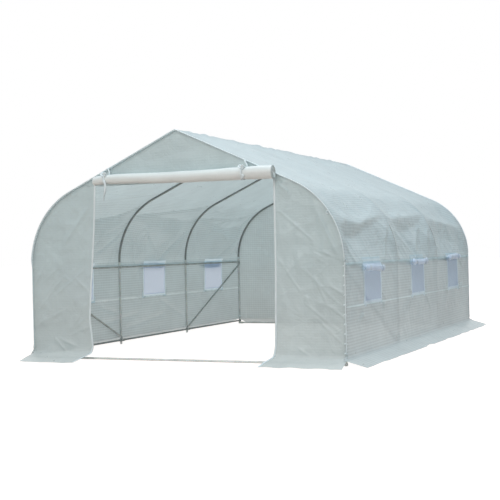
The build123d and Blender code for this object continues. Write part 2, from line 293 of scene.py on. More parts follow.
# materials
# woven polyethylene sheet, flat tapes woven and coated: milky, lets light through, fine ribs, a soft plastic shine
def wovenSheet(name, face, through, share, ribs, ribShade, creaseHeight=0.0, bumpDepth=0.006, patches=(2.6, 5.2),
               crumpled=None, seams=()):
    material, add = newMaterial(name)
    uv = add("UVMap", {"uv_map": "flat"})
    split = add("SeparateXYZ", {0: uv})
    # tapes are about 2.5 mm wide; drawn wider here, because finer ribs are lost in the picture
    ribScale = 2 * math.pi / ribs
    turns = (add("Math", {"operation": "MULTIPLY", 0: split.outputs[axis], 1: scale})
             for axis, scale in (("Y", ribScale), ("X", ribScale * 0.8)))
    weft, warp = (add("Math", {"operation": "SINE", 0: turn}) for turn in turns)
    softWarp = add("Math", {"operation": "MULTIPLY", 0: warp, 1: 0.45})
    weave = add("Math", {"operation": "ADD", 0: weft, 1: softWarp})
    fromRidge = add("Math", {"operation": "ABSOLUTE", 0: split.outputs["Y"]})
    cloudy = add("TexNoise", {"Scale": 3.2, "Detail": 4.0, "Roughness": 0.55, "Vector": uv})
    crumple = add("TexNoise", {"Scale": 9.0, "Detail": 6.0, "Roughness": 0.6, "Distortion": 1.2, "Vector": uv})
    patch = add("MapRange", {"From Min": 0.3, "From Max": 0.7, "To Min": 0.94, "To Max": 1.03, "Value": cloudy})
    # the ribs show more against the light than on the lit face
    level, lit = (add("Math", {"operation": "MULTIPLY_ADD", 0: weave, 1: shade, 2: patch}) for shade in ribShade)
    # a seam is a narrow strip where the cloth is folded thin and sewn: more light comes through, and its face is paler,
    # or darker where the lift is below zero, which is painted shade
    passed = share
    for drop, width, *lifts in seams:
        onSeam = add("Math", {"operation": "COMPARE", 0: fromRidge, 1: drop, 2: width / 2})
        level, lit, passed = (add("Math", {"operation": "MULTIPLY_ADD", 0: onSeam, 1: lift, 2: base})
                              for lift, base in zip(lifts, (level, lit, passed)))
    # painted shade and bounce light: the foot of the sheet is a little darker and less blue, standing in for warm light
    # thrown up from the ground
    place = add("TexCoord")
    above = add("SeparateXYZ", {0: place.outputs["Object"]})
    paintedFootShade = add("MapRange", {"From Max": 0.9, "To Min": 1.0, "To Max": 0.0, "Value": above.outputs["Z"]})
    shades = []
    for color, strength, shadedFootColor in ((face, level, "#faf3f1"), (through, lit, "#fffbfa")):
        unshadedColor = add("VectorMath", {"operation": "SCALE", "Scale": strength, 0: hexColor(color)[:3]})
        footShadeTint = add("Mix", {"data_type": "RGBA", 0: paintedFootShade, 6: hexColor("#ffffff"), 7: hexColor(shadedFootColor)})
        shades.append(add("VectorMath", {"operation": "MULTIPLY", 0: unshadedColor, 1: footShadeTint.outputs[2]}))
    tint, glow = shades
    ribHeight = add("Math", {"operation": "MULTIPLY", 0: weave, 1: 0.0003 / bumpDepth})
    # sharp fold lines left from packing: straight edges round wide patches
    turned = add("Mapping", {"Rotation": (0, 0, 0.6), "Scale": patches + (1.0,), "Vector": uv})
    creased = add("TexVoronoi", {"feature": "DISTANCE_TO_EDGE", "Scale": 1.0, "Vector": turned})
    edge = add("MapRange", {"From Max": 0.22, "To Max": creaseHeight, "Value": creased})
    rough = add("Math", {"operation": "ADD", 0: ribHeight, 1: crumple})
    height = add("Math", {"operation": "ADD", 0: rough, 1: edge})
    if crumpled:
        bent = add("TexNoise", {"Scale": 5.0, "Detail": 2.0, "Roughness": 0.5, "Distortion": 0.8, "Vector": uv})
        edge = add("Math", {"operation": "SUBTRACT", 0: bent, 1: 0.5})
        ridge = add("Math", {"operation": "ABSOLUTE", 0: edge})
        height = add("Math", {"operation": "MULTIPLY_ADD", 0: ridge, 1: -3.5, 2: height})
        # drawn tight near the ridge and down the wall, crumpled on the shoulder
        zone = add("MapRange", {"From Min": crumpled[0], "From Max": crumpled[1], "To Min": 0.3, "Value": fromRidge})
        wall = add("MapRange", {"From Min": crumpled[2], "From Max": crumpled[3], "To Min": 1.0, "To Max": 0.45,
                                "Value": fromRidge})
        both = add("Math", {"operation": "MULTIPLY", 0: zone, 1: wall})
        height = add("Math", {"operation": "MULTIPLY", 0: height, 1: both})
    bump = add("Bump", {"Strength": 0.5, "Distance": bumpDepth, "Height": height})
    gloss = add("MapRange", {"From Min": 0.3, "From Max": 0.7, "To Min": 0.26, "To Max": 0.42, "Value": crumple})
    skin = add("BsdfPrincipled", {"IOR": 1.5, "Specular IOR Level": 0.5, "Base Color": tint, "Roughness": gloss,
                                  "Normal": bump})
    light = add("BsdfTranslucent", {"Color": glow, "Normal": bump})
    mix = add("MixShader", {0: passed, 1: skin, 2: light})
    # what touches the sheet from behind shows through it faintly
    clear = add("BsdfTransparent", {"Color": hexColor("#e8f0f0")})
    whole = add("MixShader", {0: 0.94, 1: clear, 2: mix})
    add("OutputMaterial", {"Surface": whole})
    return material


# zinc coated steel tube, drawn and dull: grey with a faint spangle and darker scuffs
def zincTube(name, dark, pale):
    material, add = newMaterial(name)
    place = add("TexCoord")
    spangle = add("TexVoronoi", {"Scale": 160.0, "Vector": place.outputs["Object"]})
    scuff = add("TexNoise", {"Scale": 9.0, "Detail": 6.0, "Roughness": 0.65, "Vector": place.outputs["Object"]})
    ramp = add("ValToRGB", {"Fac": scuff})
    ramp.color_ramp.elements[0].position, ramp.color_ramp.elements[0].color = 0.32, hexColor(dark)
    ramp.color_ramp.elements[1].position, ramp.color_ramp.elements[1].color = 0.68, hexColor(pale)
    mottle = add("Mix", {"data_type": "RGBA", "blend_type": "MULTIPLY", "Factor": 0.18, 6: ramp, 7: spangle.outputs["Color"]})
    rough = add("MapRange", {"To Min": 0.38, "To Max": 0.6, "Value": scuff})
    bump = add("Bump", {"Strength": 0.12, "Distance": 0.001, "Height": scuff})
    skin = add("BsdfPrincipled", {"Metallic": 0.35, "Base Color": mottle.outputs[2], "Roughness": rough, "Normal": bump})
    add("OutputMaterial", {"Surface": skin})
    return material


# knitted insect net: bluish white threads with open holes between, seen from afar as a haze
def insectNet():
    material, add = newMaterial("knittedNet")
    uv = add("UVMap", {"uv_map": "flat"})
    split = add("SeparateXYZ", {0: uv})
    # real holes are about 1.5 mm; the grid is drawn at 9 mm so that it shows
    waves = []
    for axis in ("X", "Y"):
        scaled = add("Math", {"operation": "MULTIPLY", 0: split.outputs[axis], 1: math.pi / 0.009})
        wave = add("Math", {"operation": "SINE", 0: scaled})
        waves.append(add("Math", {"operation": "ABSOLUTE", 0: wave}))
    thread = add("Math", {"operation": "MINIMUM", 0: waves[0], 1: waves[1]})
    covered = add("MapRange", {"From Max": 0.6, "To Min": 0.95, "To Max": 0.8, "Value": thread})
    skin = add("BsdfPrincipled", {"Base Color": hexColor("#cee1f6"), "Roughness": 0.75})
    light = add("BsdfTranslucent", {"Color": hexColor("#d0e0f4")})
    body = add("MixShader", {0: 0.4, 1: skin, 2: light})
    hole = add("BsdfTransparent")
    mix = add("MixShader", {0: covered, 1: hole, 2: body})
    add("OutputMaterial", {"Surface": mix})
    return material


# white polyester tape, woven narrow and sewn: bright, matt, with a fine twill
def whiteTape(name, color, share):
    material, add = newMaterial(name)
    place = add("TexCoord")
    twill = add("TexWave", {"Scale": 50.0, "Distortion": 1.5, "bands_direction": "DIAGONAL", "Vector": place.outputs["Object"]})
    soil = add("TexNoise", {"Scale": 14.0, "Detail": 4.0, "Vector": place.outputs["Object"]})
    level = add("MapRange", {"To Min": 0.9, "To Max": 1.06, "Value": soil})
    tint = add("VectorMath", {"operation": "SCALE", "Scale": level, 0: hexColor(color)[:3]})
    bump = add("Bump", {"Strength": 0.25, "Distance": 0.001, "Height": twill.outputs["Fac"]})
    skin = add("BsdfPrincipled", {"Roughness": 0.7, "Base Color": tint, "Normal": bump})
    light = add("BsdfTranslucent", {"Color": tint})
    mix = add("MixShader", {0: share, 1: skin, 2: light})
    add("OutputMaterial", {"Surface": mix})
    return material


panelSheet = wovenSheet("wovenPolyethyleneEnds", "#cfdfe1", "#cddadb", share=0.34, ribs=0.022, ribShade=(0.003, 0.009),
                        creaseHeight=0.45, bumpDepth=0.014)
backSheet = wovenSheet("wovenPolyethyleneBack", "#cfdfe1", "#cddadb", share=0.34, ribs=0.025, ribShade=(0.004, 0.16),
                       creaseHeight=0.45, bumpDepth=0.014)
rollSheet = wovenSheet("wovenPolyethyleneRolled", "#e6efee", "#e2eae8", share=0.04, ribs=0.022, ribShade=(0.004, 0.009))
# one zinc coated steel in three tones: the two darker copies are painted shade, for parts that lie in the cover's shade
# or against the light
steel = zincTube("zincCoatedSteel", "#c4ccca", "#e6ebe9")
halfShadedSteel = zincTube("zincCoatedSteelHalfShaded", "#9ea6a4", "#c2c9c7")
shadedSteel = zincTube("zincCoatedSteelShaded", "#7c8483", "#9ea5a4")
net = insectNet()
tape = whiteTape("polyesterTape", "#e9f6f9", share=0.04)
windowTape = whiteTape("polyesterTapeSewnIn", "#e8f6fd", share=0.45)
headTape = whiteTape("thinFlapHead", "#d9e8ee", share=0.62)
hemTape = whiteTape("foldedPolyethyleneHem", "#e4ecee", share=0.8)
flapSheet = wovenSheet("wovenPolyethyleneFlap", "#e4f1fc", "#eaf4fc", share=0.42, ribs=0.022, ribShade=(0.004, 0.009))
print("materials made")

# painted shade: the hoops, the ridge and the paired ground bars take the darkest copy of the steel, and the braces and
# rails the middle one
finishes = {"legs": steel, "_ground_bars": shadedSteel, "_ground_bar": steel, "braces": halfShadedSteel, "rails": halfShadedSteel,
            "hoop": shadedSteel, "ridge": shadedSteel}
for name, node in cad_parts.items():
    finish = next((finish for word, finish in finishes.items() if word in name), None)
    if finish:
        node.data.materials.clear()
        node.data.materials.append(finish)

# camera, floor and light
view = dict(place=(4.2561, -10.4016, 0.9448), azimuth=math.radians(23.78), elevation=math.radians(-0.02), roll=-0.0218,
            focal=1070.1, pixels=500)
backWay = np.array([math.sin(view["azimuth"]) * math.cos(view["elevation"]),
                    -math.cos(view["azimuth"]) * math.cos(view["elevation"]), math.sin(view["elevation"])])
levelWay = np.array([math.cos(view["azimuth"]), math.sin(view["azimuth"]), 0])
upWay = np.cross(backWay, levelWay)
rightWay = levelWay * math.cos(view["roll"]) + upWay * math.sin(view["roll"])
topWay = -levelWay * math.sin(view["roll"]) + upWay * math.cos(view["roll"])
camera = bpy.data.objects.new("camera", bpy.data.cameras.new("camera"))
bpy.context.scene.collection.objects.link(camera)
camera.data.lens = camera.data.sensor_width * view["focal"] / view["pixels"]
camera.data.clip_end = 200
camera.matrix_world = standAt(rightWay, topWay, backWay, view["place"])
bpy.context.scene.camera = camera


# the white of the studio is for rays that are seen, mirrored or sent through
def whiteRays(add):
    path = add("LightPath")
    direct = add("Math", {"operation": "ADD", 0: path.outputs["Is Camera Ray"], 1: path.outputs["Is Glossy Ray"]})
    return add("Math", {"operation": "ADD", "use_clamp": True, 0: direct, 1: path.outputs["Is Transmission Ray"]})


floorMesh = bpy.data.meshes.new("floor")
floorMesh.from_pydata([(-60, -60, 0), (60, -60, 0), (60, 60, 0), (-60, 60, 0)], [], [(0, 1, 2, 3)])
floor = bpy.data.objects.new("floor", floorMesh)
bpy.context.scene.collection.objects.link(floor)
floorPaint, add = newMaterial("paleFloor")
seen = whiteRays(add)
paint = add("BsdfDiffuse", {"Color": hexColor("#c5b0a4")})
lift = add("Math", {"operation": "MULTIPLY", 0: seen, 1: 0.88})
glow = add("Emission", {"Color": (1, 1, 1, 1), "Strength": lift})
both = add("AddShader", {0: paint, 1: glow})
add("OutputMaterial", {"Surface": both})
floorMesh.materials.append(floorPaint)

world = bpy.data.worlds.new("studio")
bpy.context.scene.world = world
world.use_nodes = True
world.node_tree.nodes.clear()
add = partial(addNode, world.node_tree)
seen = whiteRays(add)
room = add("Background", {"Color": hexColor("#e2edf7"), "Strength": 0.43})
white = add("Background", {"Color": (1, 1, 1, 1), "Strength": 1.0})
pick = add("MixShader", {0: seen, 1: room, 2: white})
add("OutputWorld", {"Surface": pick})

lamps = dict(
    sky=dict(place=(0.6, 0.3, 9.0), aim=(0, 0, 0), size=9, power=290, color="#eef6ff"),
    front=dict(place=(-0.5, -11.0, 5.0), aim=(0, -2, 1.0), size=6, power=390, color="#fffaf5"),
    side=dict(place=(3.6, -2.5, 9.0), aim=(1, 0, 1.0), size=3, power=260, color="#f4f9ff"),
)
for name, lamp in lamps.items():
    data = bpy.data.lights.new(name, "AREA")
    data.size, data.energy, data.color = lamp["size"], lamp["power"], hexColor(lamp["color"])[:3]
    light = bpy.data.objects.new(name, data)
    bpy.context.scene.collection.objects.link(light)
    way = unit(np.array(lamp["place"]) - np.array(lamp["aim"]))
    sideWay = unit(np.cross((0, 1, 0.01), way))
    light.matrix_world = standAt(sideWay, np.cross(way, sideWay), way, lamp["place"])
bpy.context.scene.view_settings.view_transform = "Standard"
print("camera, floor and lamps set")

# cover over the hoops: one sheet from skirt to skirt
cover = dict(outside=0.0128, cutBack=0.016, headTop=0.856, upperSeam=0.87, hem=0.818, lowerSeam=0.47, windowTop=0.805,
             windowLow=0.49, windowWidth=0.47, cell=0.0185, lumps=0.0025, seamProud=0.002, ridgeWave=0.006, passes=24,
             bend=0.006, pull=0.00005)
halfWindow = cover["windowWidth"] / 2
arch = archLine(np.zeros(1), cover["outside"])[4]


def dropTo(z):
    r = tunnel["bendRadius"] + cover["outside"]
    if z > tunnel["legHeight"]:
        return arch["rafter"] + r * (tunnel["bendAngle"] - math.asin((z - tunnel["legHeight"]) / r))
    return arch["rafter"] + arch["arc"] + tunnel["legHeight"] - z


def linesThrough(stops, cell):
    out = [np.array([stops[0]])]
    for a, b in zip(stops[:-1], stops[1:]):
        out.append(np.linspace(a, b, max(1, round(abs(b - a) / cell)) + 1)[1:])
    return np.concatenate(out)


# the upper seam's face is darker from outside: painted shade, standing in for the thin shadow line along the eaves; its
# paler inside and the lower seam are the seams' own colour
coverSheet = wovenSheet("wovenPolyethylene", "#cadce0", "#cad9db", share=0.32, ribs=0.025, ribShade=(0.011, 0.17),
                        creaseHeight=0.8, bumpDepth=0.011, patches=(3.2, 5.6), crumpled=(1.15, 1.5, 1.9, 2.1),
                        seams=((dropTo(cover["lowerSeam"]), 0.009, 0.12, 0.30, 0.15),
                               (dropTo(cover["upperSeam"]), 0.010, -0.10, 0.26, 0.08)))
footStart = dropTo(flare["start"])
footEnd = footStart + flare["length"]
heights = (cover["upperSeam"], cover["headTop"], cover["windowTop"], tunnel["railHeight"], cover["windowLow"],
           cover["windowLow"] - cover["cutBack"], cover["lowerSeam"])
stops = [0] + [dropTo(z) for z in heights] + [footStart]
down = np.concatenate([linesThrough(stops, cover["cell"]), linesThrough([footStart, footStart + 0.04, footEnd], 0.01)[1:]])
girth = np.concatenate([-down[:0:-1], down])
yStops = [-tunnel["lip"]]
for y, mid in zip(hoopLines, bayMiddles):
    yStops += [y] + [mid + side * (halfWindow + cut) for side, cut in
                     ((-1, cover["cutBack"]), (-1, 0), (1, 0), (1, cover["cutBack"]))]
yStops += [hoopLines[-1], tunnel["lip"]]
lengthLines = linesThrough(yStops, cover["cell"])
yGrid, sGrid = np.meshgrid(lengthLines, girth, indexing="ij")
sideSign = np.where(sGrid < 0, -1.0, 1.0)
x, z, nx, nz, _ = archLine(np.abs(sGrid), cover["outside"])
coverFlat = np.stack([x * sideSign, yGrid, z], -1)
coverOut = np.stack([nx * sideSign, np.zeros_like(nx), nz], -1)

bayShare = (yGrid - hoopLines[0]) / tunnel["bay"] % 1.0
betweenHoops = np.sin(math.pi * bayShare) ** 2
inBays = np.abs(yGrid) < hoopLines[-1]
aS = np.abs(sGrid)
onShoulder = bell(aS - dropTo(1.16), 0.3)

# between two hoops the sheet hangs slack over the shoulder: a fold hangs from hoop to hoop, under it the sheet
# falls back into a hollow, and from there it is pulled flat and straight to the ends of the window flap.
# each line is a fold, as (along the bay from its middle, down from the ridge, out from the arch)
slump = dict(ridge=0.25, top=1.15, flat=1.58, low=0.822, rail=-0.0115, roof=0.016, crest=(0.004, 0.010), sharp=0.014, lift=0.22,
             feet=(-0.62, -0.45, -0.30, -0.12, 0.06, 0.22, 0.37, 0.53, 0.66))
foot, rail = dropTo(slump["low"]), slump["rail"]
shoulderFolds = (
    (((-0.75, 1.665, 0), (-0.43, 1.652, -0.010), (-0.11, 1.689, -0.008), (0.19, 1.641, -0.010), (0.75, 1.585, 0)),
     ((-0.75, 1.72, 0), (-0.43, 1.790, -0.088), (-0.05, 1.735, -0.078), (0.35, 1.660, -0.034), (0.75, 1.585, 0)),
     ((-0.43, 1.790, -0.088), (-0.28, foot, rail)), ((-0.05, 1.735, -0.078), (0.02, foot, rail)),
     ((0.75, 1.585, 0), (0.56, 1.780, -0.014), (0.37, foot, rail)),
     ((0.75, 1.66, 0), (0.60, 1.850, -0.040), (0.56, foot, rail)),
     ((-0.75, 1.80, 0), (-0.58, 1.900, -0.040), (-0.45, foot, rail))),
    (((-0.75, 1.575, 0), (-0.58, 1.618, -0.008), (-0.01, 1.577, -0.014), (0.75, 1.535, 0)),
     ((-0.75, 1.610, 0), (-0.51, 1.740, -0.044), (-0.20, 1.727, -0.086), (0.44, 1.662, -0.044), (0.75, 1.560, 0)),
     ((-0.51, 1.740, -0.044), (-0.02, foot, rail)), ((0.44, 1.662, -0.044), (0.03, 1.894, -0.030), (-0.02, foot, rail)),
     ((-0.75, 1.70, 0), (-0.50, 1.900, -0.056), (-0.42, foot, rail)),
     ((0.44, 1.662, -0.044), (0.28, 1.860, -0.066), (0.22, foot, rail)),
     ((0.75, 1.560, 0), (0.55, 1.790, -0.012), (0.45, foot, rail)),
     ((0.75, 1.66, 0), (0.62, 1.850, -0.036), (0.58, foot, rail))),
    (((-0.75, 1.565, 0), (-0.34, 1.601, -0.012), (0.55, 1.665, -0.012), (0.75, 1.680, 0)),
     ((-0.75, 1.610, 0), (-0.22, 1.785, -0.080), (0.54, 1.890, -0.040), (0.75, 1.900, 0)),
     ((-0.22, 1.785, -0.080), (-0.36, foot, rail)), ((-0.22, 1.785, -0.080), (0.06, foot, rail)),
     ((0.54, 1.890, -0.040), (0.40, foot, rail)),
     ((-0.75, 1.68, 0), (-0.56, 1.880, -0.048), (-0.50, foot, rail)), ((0.10, 1.640, -0.020), (0.20, 1.840, -0.062))),
)


# the place on the sheet of each fold's corner, and flat cloth between the corners
def foldedBay(lines, mid, yFlat, sFlat):
    half = tunnel["bay"] / 2
    arcs = [tuple((end, v, 0) for v in np.linspace(slump["top"], foot, 15)) for end in (-half, half)]
    edge = tuple((v, slump["top"], -slump["roof"] * math.cos(math.pi * v / (2 * half))) for v in np.linspace(-half, half, 11))
    base = ((-half, foot, 0),) + tuple((v, foot, rail) for v in slump["feet"]) + ((half, foot, 0),)
    corners, links = [], []
    for line in lines + tuple(arcs) + (edge, base):
        links += [(len(corners) + k, len(corners) + k + 1) for k in range(len(line) - 1)]
        corners += list(line)
    spots, _, faces, origin, _, _ = delaunay_2d_cdt([Vector(c[:2]) for c in corners], links, [], 0, 1e-5)
    out = np.array([corners[o[0]][2] if o else 0.0 for o in origin])
    spots = np.array([tuple(v) for v in spots])
    x, z, nx, nz, _ = archLine(spots[:, 1], cover["outside"])
    place = np.stack([x + nx * out, spots[:, 0] + mid, z + nz * out], -1)
    x, z, nx, nz, _ = archLine(sFlat, cover["outside"])
    hang = np.zeros(yFlat.shape)
    result = np.full(yFlat.shape + (3,), np.nan)
    for face in faces:
        a, b, c = spots[list(face)]
        size = (b[0] - a[0]) * (c[1] - a[1]) - (c[0] - a[0]) * (b[1] - a[1])
        if abs(size) < 1e-9:
            continue
        u = ((yFlat - mid - a[0]) * (c[1] - a[1]) - (c[0] - a[0]) * (sFlat - a[1])) / size
        v = ((b[0] - a[0]) * (sFlat - a[1]) - (yFlat - mid - a[0]) * (b[1] - a[1])) / size
        inside = (u > -1e-6) & (v > -1e-6) & (u + v < 1 + 1e-6)
        result[inside] = (place[face[0]] + u[inside, None] * (place[face[1]] - place[face[0]])
                          + v[inside, None] * (place[face[2]] - place[face[0]]))
        hang[inside] = (out[face[0]] + u * (out[face[1]] - out[face[0]]) + v * (out[face[2]] - out[face[0]]))[inside]
    # near the roof the sheet follows the hoops, lower down it is flat between its folds
    flatShare = fade((sFlat - slump["top"]) / (slump["flat"] - slump["top"]))[..., None]
    flatShare = flatShare ** 2 * (3 - 2 * flatShare)
    rounded = np.stack([x + nx * hang, yFlat, z + nz * hang], -1)
    return rounded + flatShare * (result - rounded)


underRidge = fade((aS - slump["ridge"]) / (slump["top"] - slump["ridge"])) * (aS < slump["top"])
push = -slump["roof"] * np.abs(np.sin(math.pi * bayShare)) * underRidge * inBays
# short creases run out from the corners of the windows
corner = dict(count=14, beside=0.02, low=0.42, shift=0.05, turn=0.9, size=(0.10, 0.32), height=(0.004, 0.009))
rng = np.random.default_rng(11)
for sign in (-1, 1):
    for mid in bayMiddles:
        for k in range(corner["count"]):
            y0 = mid + rng.choice([-1, 1]) * (halfWindow + corner["beside"])
            s0 = dropTo(rng.choice([cover["windowTop"], cover["windowLow"], corner["low"]]))
            s0 = s0 + rng.uniform(-corner["shift"], corner["shift"])
            turn = rng.uniform(-corner["turn"], corner["turn"])
            size = rng.uniform(*corner["size"])
            end = y0 + math.copysign(size * math.cos(turn), y0 - mid), s0 + size * math.sin(turn)
            along, off = besideLine(yGrid, aS, (y0, s0), end)
            bulge = fade(4 * along * (1 - along)) * bell(off, slump["sharp"]) * (aS > foot)
            push += rng.uniform(*corner["height"]) * (sideSign == sign) * bulge
# long creases of the left side, as seen from inside: along the tunnel, down from the ridge, and how high they stand
leftCreases = (
    (0.018, (0.127, 1.929), (0.637, 1.647), (0.80, 1.40)), (0.018, (1.60, 1.965), (2.024, 1.707), (2.186, 1.391)),
    (0.015, (-1.27, 1.885), (-1.019, 1.769), (-0.755, 1.628)),
    (0.018, (-1.80, 1.60), (-1.33, 1.532), (-0.997, 1.477), (-0.74, 1.34)),
    (0.018, (-0.70, 1.475), (0.013, 1.373), (0.70, 1.277)), (0.015, (0.80, 1.48), (1.098, 1.462), (1.843, 1.423), (2.2, 1.33)),
    (0.009, (-1.28, 1.188), (-0.575, 1.045)), (0.013, (-1.168, 1.675), (-0.76, 1.567)), (0.013, (1.125, 1.676), (1.468, 1.474)),
    (0.011, (-1.098, 2.628), (-0.377, 2.56)), (0.011, (0.138, 2.438), (0.681, 2.643)), (0.011, (-1.28, 2.413), (-0.822, 2.518)),
    (0.009, (-1.877, 0.978), (-1.459, 0.855)), (0.009, (-0.6, 2.70), (0.2, 2.60)), (0.009, (0.85, 2.35), (1.3, 2.55)),
)
for height, *line in leftCreases:
    for a, b in zip(line[:-1], line[1:]):
        along = fade(besideLine(yGrid, aS, a, b)[0])
        off = np.hypot(yGrid - a[0] - along * (b[0] - a[0]), aS - a[1] - along * (b[1] - a[1]))
        push += height * (sideSign < 0) * bell(off, 0.02, 1.5)
# the rail holds the wall in a little, from hoop to hoop
fromHoop = np.minimum(bayShare, 1 - bayShare) * tunnel["bay"]
aboveFoot = fade((footStart - aS) / (footStart - foot)) * (aS >= foot - 1e-6)
push += rail * fade(fromHoop / 0.13) * aboveFoot * inBays
folded = np.full(yGrid.shape + (3,), np.nan)
for sign in (-1, 1):
    for i, mid in enumerate(bayMiddles):
        # the far side hangs the same way, turned end for end
        lines = shoulderFolds[i]
        if sign < 0:
            lines = tuple(tuple((-y, v - slump["lift"] * (foot - v), out) for y, v, out in line)
                          for line in shoulderFolds[2 - i])
        for line in lines[2:]:
            height = rng.uniform(*slump["crest"])
            for a, b in zip(line[:-1], line[1:]):
                along, off = besideLine(yGrid - mid, aS, a[:2], b[:2])
                bulge = (along > 0) * (along < 1) * bell(off, slump["sharp"]) * fade(fromHoop / 0.1)
                push += height * (sideSign == sign) * bulge
        mine = (sideSign == sign) & (np.abs(yGrid - mid) < tunnel["bay"] / 2) & (aS > slump["top"]) & (aS < foot)
        folded[mine] = foldedBay(lines, mid, yGrid[mine], aS[mine])
folded[..., 0] *= sideSign
slack = np.where(np.isnan(folded), 0, folded - coverFlat)
for axis in (0, 1):
    slack = (np.roll(slack, 1, axis) + np.roll(slack, -1, axis) + 3 * slack) / 5
fold = np.abs(ripples(yGrid + 0.4 * sGrid, sGrid, 0.5, 0.6, 3))
fold = fold + 0.6 * np.abs(ripples(yGrid - 0.5 * sGrid, sGrid, 0.22, 0.3, 4)) - 1.0
nearHoop = np.clip(np.abs((bayShare - 0.5) * tunnel["bay"]) - tunnel["bay"] / 2 + 0.16, 0, 0.16) / 0.16
push += cover["lumps"] * fold * (1 - nearHoop) * (0.25 + 0.9 * onShoulder) * inBays * (aS < footStart)
onSeam = np.abs(aS - dropTo(cover["lowerSeam"])) < 1e-6
push += cover["seamProud"] * (1 + 0.5 * ripples(yGrid, sGrid * 0, 0.09, 1, 32)) * onSeam
start = coverFlat + slack + coverOut * push[..., None]
# the loose skirt waves, runs out past the end panels to fill the corners, and narrows at the left front
skirt = dict(wave=0.55, lift=0.004, out=0.006, pastLeft=0.02, pastRight=0.09, narrowFrom=-1.9, narrowOver=0.35, narrow=0.75,
             narrowTo=-1.499)
skirtWave = ripples(yGrid, sGrid * 0, skirt["wave"], 1, 8) * fade((aS - footStart) / 0.2)
start[..., 2] += np.abs(skirtWave) * skirt["lift"]
start[..., 0] += sideSign * skirtWave * skirt["out"]
narrowing = skirt["narrow"] * fade((skirt["narrowFrom"] - yGrid) / skirt["narrowOver"]) * (sGrid < 0) * (aS > footStart)
start[..., 0] -= narrowing * (start[..., 0] - skirt["narrowTo"])
onLip = np.sign(yGrid) * fade((np.abs(yGrid) - hoopLines[-1]) / (tunnel["lip"] - hoopLines[-1]))
start[..., 1] += np.where(sGrid < 0, skirt["pastLeft"], skirt["pastRight"]) * fade((aS - footStart) / 0.02) * onLip
ridgeWave = np.abs(ripples(yGrid, sGrid * 0, 0.38, 1, 9)) * bell(aS, 0.05) * fade(betweenHoops * 4)
start[..., 2] += cover["ridgeWave"] * ridgeWave
# below the eaves the lip is cut short, so that the legs show beside it
lipCut = dict(top=0.9, topOver=0.06, lowOver=0.04, depth=0.014)
cutShort = fade((aS - dropTo(lipCut["top"])) / lipCut["topOver"]) * fade((footStart - aS) / lipCut["lowOver"])
start[..., 1] -= lipCut["depth"] * onLip * cutShort

# the sheet is held at the ridge, the hoops and the ground; its wall stays outside the legs and behind the flaps
stay = dict(high=0.83, low=0.03, outside=1.4848, behind=1.4985, flapReach=0.31, flapDrop=0.07, near=0.02, corner=0.06)
held = (aS < 1e-6) | (aS > footEnd - 1e-6) | (np.abs(yGrid) > hoopLines[-1])
for y in hoopLines:
    held |= (np.abs(yGrid - y) < stay["near"]) & (aS < footStart + stay["near"])
besideFlap = np.zeros(yGrid.shape, bool)
for mid in bayMiddles:
    held |= (np.abs(np.abs(yGrid - mid) - halfWindow) < stay["corner"]) & (np.abs(aS - foot) < stay["near"])
    besideFlap |= (np.abs(yGrid - mid) < stay["flapReach"]) & (np.abs(aS - dropTo(stay["high"])) < stay["flapDrop"])
wallRows = (aS > dropTo(stay["high"])) & (aS < dropTo(stay["low"]))


def keepOff(p):
    p[..., 2] = np.maximum(p[..., 2], flare["ground"] * 0.8)
    reach = np.abs(p[..., 0])
    reach = np.where(wallRows, np.maximum(reach, stay["outside"]), reach)
    reach = np.where(besideFlap, np.minimum(reach, stay["behind"]), reach)
    p[..., 0] = np.where(wallRows | besideFlap, sideSign * reach, p[..., 0])


keepOff(start)
coverSet = start
give = 0.001 + 0.002 * onShoulder
coverSet = settleCloth(start, 1.0 - held, give, cover["passes"], cover["bend"], keepOff, cover["pull"])
print("cover settled", coverSet.shape)

midY = (yGrid[1:, 1:] + yGrid[:-1, :-1]) / 2
midS = (sGrid[1:, 1:] + sGrid[:-1, :-1]) / 2
inWindow = np.zeros(midY.shape, bool)
for mid in bayMiddles:
    inWindow |= (np.abs(midY - mid) < halfWindow + cover["cutBack"]) & \
        (np.abs(midS) > dropTo(cover["headTop"])) & (np.abs(midS) < dropTo(cover["windowLow"] - cover["cutBack"]))
coverUv = np.stack([yGrid, sGrid], -1)
coverPiece = gridPiece("wovenCover", coverSet, coverUv, coverSheet, ~inWindow, slotName="woven_cover",
                       nodes=("roof_cover", "left_window_band", "right_window_band", "left_lower_wall", "right_lower_wall",
                              "left_skirt", "right_skirt"))
coverNormal = gridNormals(coverSet)
if (coverNormal * coverOut).sum() < 0:
    coverNormal = -coverNormal

# window nets, the tape round them with ears at the lower corners, and the flaps' heads over them
trim = dict(width=0.033, shift=0.007, ear=0.02, earShift=0.014, earSize=0.03, uneven=0.003, proud=0.001, bulge=0.006)


# the cells of the cover about the middle of a bay, between two drops
def coverBlock(sign, mid, reach, high, low):
    u = np.where(np.abs(lengthLines - mid) < reach)[0]
    v = np.where((girth * sign > high) & (girth * sign < low))[0]
    return np.s_[u[0]:u[-1] + 1, v[0]:v[-1] + 1]


def rimOf(grid):
    return np.concatenate([grid[:-1, 0], grid[-1, :-1], grid[:0:-1, -1], grid[0, :0:-1]])


